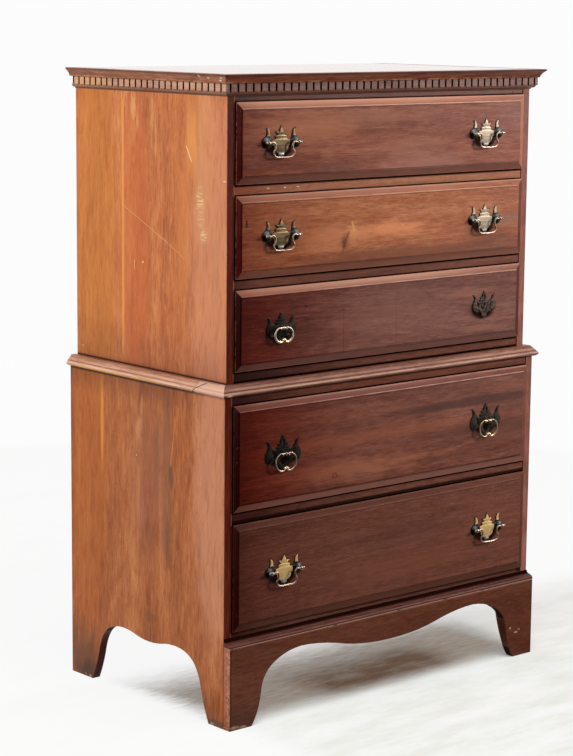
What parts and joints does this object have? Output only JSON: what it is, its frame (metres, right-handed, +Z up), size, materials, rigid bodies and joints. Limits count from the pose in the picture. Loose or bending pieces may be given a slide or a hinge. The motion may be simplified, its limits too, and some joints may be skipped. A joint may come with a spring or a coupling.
{
  "type": "chest on chest",
  "caption": "Wooden chest of drawers built as an upper case standing on a wider lower case, with a dentil cornice, a sawn apron and hanging metal pulls.",
  "frame": {"origin": "on the floor, in the middle of the box that the whole object fills", "axes": "+Z up, +X to the right as seen from the front, +Y from the front towards the back"},
  "size_m": [0.8852, 0.53, 1.279],
  "materials": {
    "side_wood": "warm brown varnish",
    "front_wood": "dark red-brown varnish, worn lighter at the edges",
    "inner_wood": "bare softwood",
    "brass": "dull, tarnished",
    "dark_bronze": "blackened",
    "ring_metal": "worn smooth"
  },
  "bodies": {
    "root": {"upper_side_left": "side_wood", "upper_side_right": "side_wood", "upper_back_panel": "inner_wood", "upper_top_board": "side_wood", "upper_top_rail": "front_wood", "upper_divider_high": "front_wood", "upper_divider_low": "front_wood", "upper_bottom_board": "front_wood", "crown_front": "front_wood", "crown_left": "side_wood", "crown_right": "side_wood", "dentil_front": "front_wood", "dentil_left": "side_wood", "dentil_right": "side_wood", "waist_moulding_front": "front_wood", "waist_moulding_left": "side_wood", "waist_moulding_right": "side_wood", "lower_side_left": "side_wood", "lower_side_right": "side_wood", "lower_back_panel": "inner_wood", "lower_top_board": "front_wood", "lower_divider": "front_wood", "lower_bottom_board": "front_wood", "front_apron": "front_wood", "base_moulding": "front_wood"},
    "drawer_1": {"drawer_1_front": "front_wood", "drawer_1_box": "inner_wood", "drawer_1_bottom": "inner_wood", "drawer_1_left_plate": "brass", "drawer_1_right_plate": "brass"},
    "drawer_1_left_bail": {"drawer_1_left_bail": "brass"},
    "drawer_1_right_bail": {"drawer_1_right_bail": "brass"},
    "drawer_2": {"drawer_2_front": "front_wood", "drawer_2_box": "inner_wood", "drawer_2_bottom": "inner_wood", "drawer_2_left_plate": "brass", "drawer_2_right_plate": "brass"},
    "drawer_2_left_bail": {"drawer_2_left_bail": "brass"},
    "drawer_2_right_bail": {"drawer_2_right_bail": "brass"},
    "drawer_3": {"drawer_3_front": "front_wood", "drawer_3_box": "inner_wood", "drawer_3_bottom": "inner_wood", "drawer_3_left_plate": "dark_bronze", "drawer_3_right_plate": "dark_bronze"},
    "drawer_3_left_ring": {"drawer_3_left_ring": "ring_metal"},
    "drawer_4": {"drawer_4_front": "front_wood", "drawer_4_box": "inner_wood", "drawer_4_bottom": "inner_wood", "drawer_4_left_plate": "dark_bronze", "drawer_4_right_plate": "dark_bronze"},
    "drawer_4_left_ring": {"drawer_4_left_ring": "ring_metal"},
    "drawer_4_right_ring": {"drawer_4_right_ring": "ring_metal"},
    "drawer_5": {"drawer_5_front": "front_wood", "drawer_5_box": "inner_wood", "drawer_5_bottom": "inner_wood", "drawer_5_left_plate": "brass", "drawer_5_right_plate": "brass"},
    "drawer_5_left_bail": {"drawer_5_left_bail": "brass"},
    "drawer_5_right_bail": {"drawer_5_right_bail": "brass"}
  },
  "joints": [
    {"name": "drawer_1_slide", "type": "slide", "parent": "root", "child": "drawer_1", "axis": [0, -1, 0], "range_m": [0, 0.36]},
    {"name": "drawer_1_left_bail_hinge", "type": "hinge", "parent": "drawer_1", "child": "drawer_1_left_bail", "pos_m": [-0.28887, -0.24625, 1.1475], "axis": [-1, 0, 0], "range_deg": [0, 165]},
    {"name": "drawer_1_right_bail_hinge", "type": "hinge", "parent": "drawer_1", "child": "drawer_1_right_bail", "pos_m": [0.27816, -0.24625, 1.1475], "axis": [-1, 0, 0], "range_deg": [0, 165]},
    {"name": "drawer_2_slide", "type": "slide", "parent": "root", "child": "drawer_2", "axis": [0, -1, 0], "range_m": [0, 0.36]},
    {"name": "drawer_2_left_bail_hinge", "type": "hinge", "parent": "drawer_2", "child": "drawer_2_left_bail", "pos_m": [-0.28689, -0.24625, 0.9675], "axis": [-1, 0, 0], "range_deg": [0, 165]},
    {"name": "drawer_2_right_bail_hinge", "type": "hinge", "parent": "drawer_2", "child": "drawer_2_right_bail", "pos_m": [0.27895, -0.24625, 0.9675], "axis": [-1, 0, 0], "range_deg": [0, 165]},
    {"name": "drawer_3_slide", "type": "slide", "parent": "root", "child": "drawer_3", "axis": [0, -1, 0], "range_m": [0, 0.36]},
    {"name": "drawer_3_left_ring_hinge", "type": "hinge", "parent": "drawer_3", "child": "drawer_3_left_ring", "pos_m": [-0.2849, -0.24625, 0.7865], "axis": [-1, 0, 0], "range_deg": [0, 165]},
    {"name": "drawer_4_slide", "type": "slide", "parent": "root", "child": "drawer_4", "axis": [0, -1, 0], "range_m": [0, 0.37]},
    {"name": "drawer_4_left_ring_hinge", "type": "hinge", "parent": "drawer_4", "child": "drawer_4_left_ring", "pos_m": [-0.28908, -0.26085, 0.53915], "axis": [-1, 0, 0], "range_deg": [0, 165]},
    {"name": "drawer_4_right_ring_hinge", "type": "hinge", "parent": "drawer_4", "child": "drawer_4_right_ring", "pos_m": [0.28208, -0.26085, 0.53915], "axis": [-1, 0, 0], "range_deg": [0, 165]},
    {"name": "drawer_5_slide", "type": "slide", "parent": "root", "child": "drawer_5", "axis": [0, -1, 0], "range_m": [0, 0.37]},
    {"name": "drawer_5_left_bail_hinge", "type": "hinge", "parent": "drawer_5", "child": "drawer_5_left_bail", "pos_m": [-0.28414, -0.26085, 0.30155], "axis": [-1, 0, 0], "range_deg": [0, 165]},
    {"name": "drawer_5_right_bail_hinge", "type": "hinge", "parent": "drawer_5", "child": "drawer_5_right_bail", "pos_m": [0.29403, -0.26085, 0.30155], "axis": [-1, 0, 0], "range_deg": [0, 165]}
  ]
}
